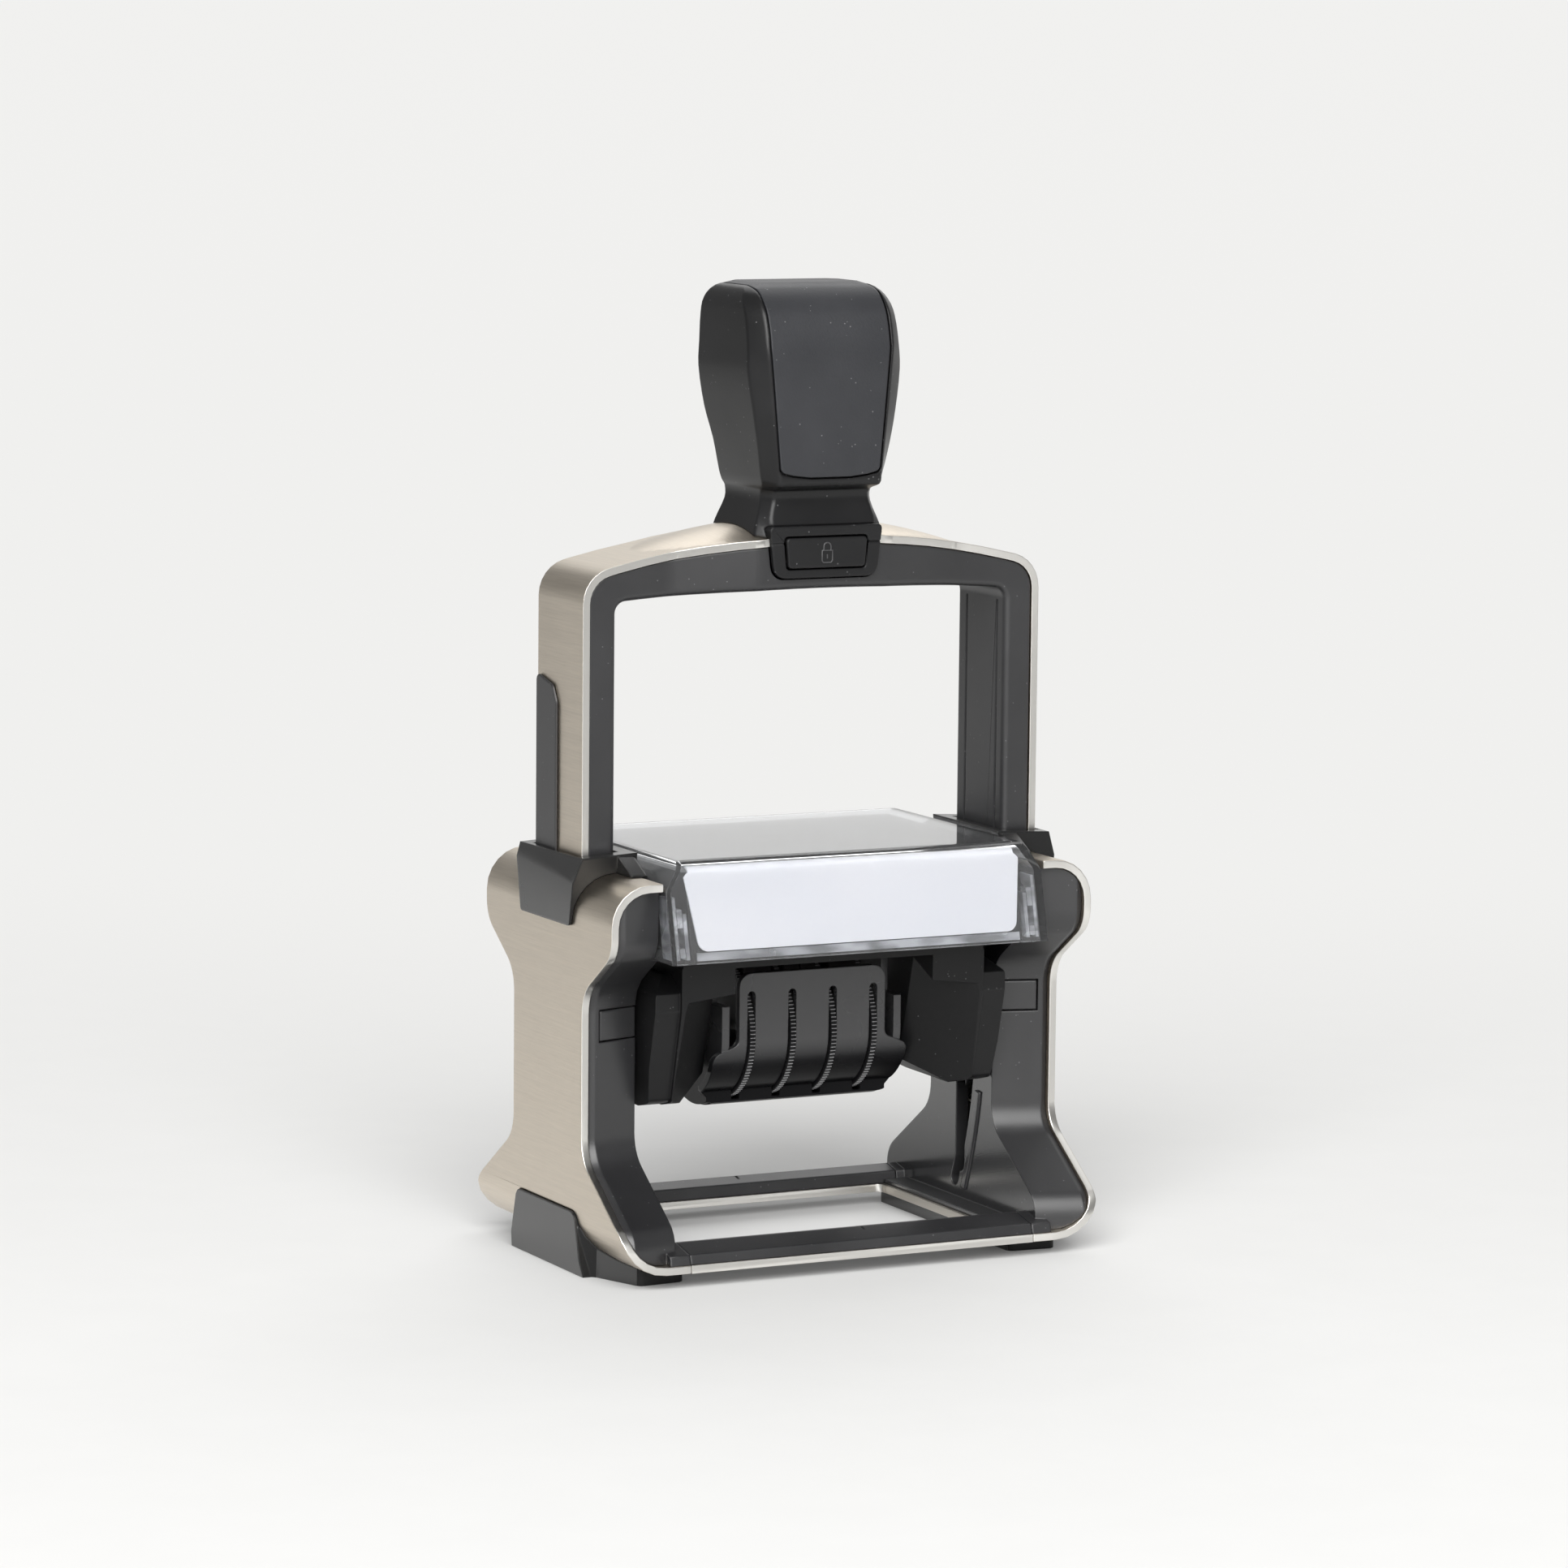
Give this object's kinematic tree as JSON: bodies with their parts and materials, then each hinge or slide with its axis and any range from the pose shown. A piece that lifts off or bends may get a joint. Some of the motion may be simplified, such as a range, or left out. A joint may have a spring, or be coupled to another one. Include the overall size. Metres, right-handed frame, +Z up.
{
  "type": "date stamp",
  "caption": "Self-inking desk date stamp: steel-clad frame, bail with a soft handle, flip-over printing carriage with date wheels, clear index cover and a slide-out ink cartridge",
  "frame": {"origin": "centre of the footprint on the table plane", "axes": "+X to the right seen from the front, +Y to the rear, +Z up along the stroke"},
  "size_m": [0.0984, 0.0648, 0.1776],
  "materials": {
    "steel": "brushed",
    "bright_steel": "satin",
    "aluminium_plate": "satin",
    "black_plastic": "matte",
    "grey_plastic": "matte",
    "grip": "soft matte",
    "clear_plastic": "clear",
    "card": "smooth",
    "ink_felt": "inked felt",
    "red_rubber": "matte"
  },
  "bodies": {
    "base": {"left_band": "steel", "right_band": "steel", "base_plate": "steel", "left_side_frame": "black_plastic", "right_side_frame": "black_plastic", "front_rail": "black_plastic", "rear_rail": "black_plastic", "side_tabs": "black_plastic", "left_foot": "grey_plastic", "right_foot": "grey_plastic", "base_screws": "bright_steel", "left_collar": "grey_plastic", "right_collar": "grey_plastic", "left_spring": "bright_steel", "right_spring": "bright_steel", "pad_housing": "black_plastic", "index_cover": "clear_plastic", "index_card": "card"},
    "bail": {"bail_frame": "black_plastic", "bail_band": "steel", "left_guide_rail": "black_plastic", "right_guide_rail": "black_plastic", "handle_core": "black_plastic", "grip_inlay": "grip", "handle_screws": "bright_steel", "lock_bezel": "black_plastic"},
    "lock": {"lock_button": "grey_plastic"},
    "carriage": {"die_carrier": "black_plastic", "text_plate": "aluminium_plate", "text_die": "red_rubber", "left_axle_pin": "bright_steel", "right_axle_pin": "bright_steel", "left_cam_pin": "bright_steel", "right_cam_pin": "bright_steel", "band_housing": "black_plastic", "band_nose": "black_plastic", "wheel_axle": "bright_steel", "month_band": "red_rubber", "day_tens_band": "red_rubber", "day_units_band": "red_rubber", "year_band": "red_rubber"},
    "month": {"month_wheel": "black_plastic"},
    "day_tens": {"day_tens_wheel": "black_plastic"},
    "day_units": {"day_units_wheel": "black_plastic"},
    "year": {"year_wheel": "black_plastic"},
    "ink_cartridge": {"cartridge_tray": "grey_plastic", "ink_pad": "ink_felt"}
  },
  "joints": [
    {"name": "bail_press", "type": "slide", "parent": "base", "child": "bail", "axis": [0, 0, -1], "range_m": [0, 0.0375], "stiffness_N_per_m": 800, "springref_m": -0.01, "deforming": ["left_spring", "right_spring"]},
    {"name": "carriage_flip", "type": "hinge", "parent": "bail", "child": "carriage", "pos_m": [0, 0, 0.0495], "axis": [1, 0, 0], "range_deg": [0, 180]},
    {"name": "lock_button_press", "type": "slide", "parent": "bail", "child": "lock", "axis": [0, 1, 0], "range_m": [0, 0.0015], "stiffness_N_per_m": 100, "springref_m": -0.002},
    {"name": "month_turn", "type": "hinge", "parent": "carriage", "child": "month", "pos_m": [0, 0.0015, 0.0405], "axis": [1, 0, 0], "continuous": true},
    {"name": "day_tens_turn", "type": "hinge", "parent": "carriage", "child": "day_tens", "pos_m": [0, 0.0015, 0.0405], "axis": [1, 0, 0], "continuous": true},
    {"name": "day_units_turn", "type": "hinge", "parent": "carriage", "child": "day_units", "pos_m": [0, 0.0015, 0.0405], "axis": [1, 0, 0], "continuous": true},
    {"name": "year_turn", "type": "hinge", "parent": "carriage", "child": "year", "pos_m": [0, 0.0015, 0.0405], "axis": [1, 0, 0], "continuous": true},
    {"name": "cartridge_slide", "type": "slide", "parent": "base", "child": "ink_cartridge", "axis": [0, 1, 0], "range_m": [0, 0.065]}
  ],
  "couplings": [
    {"joint": "carriage_flip", "follows": "bail_press", "rad_per_m": 83.776}
  ]
}
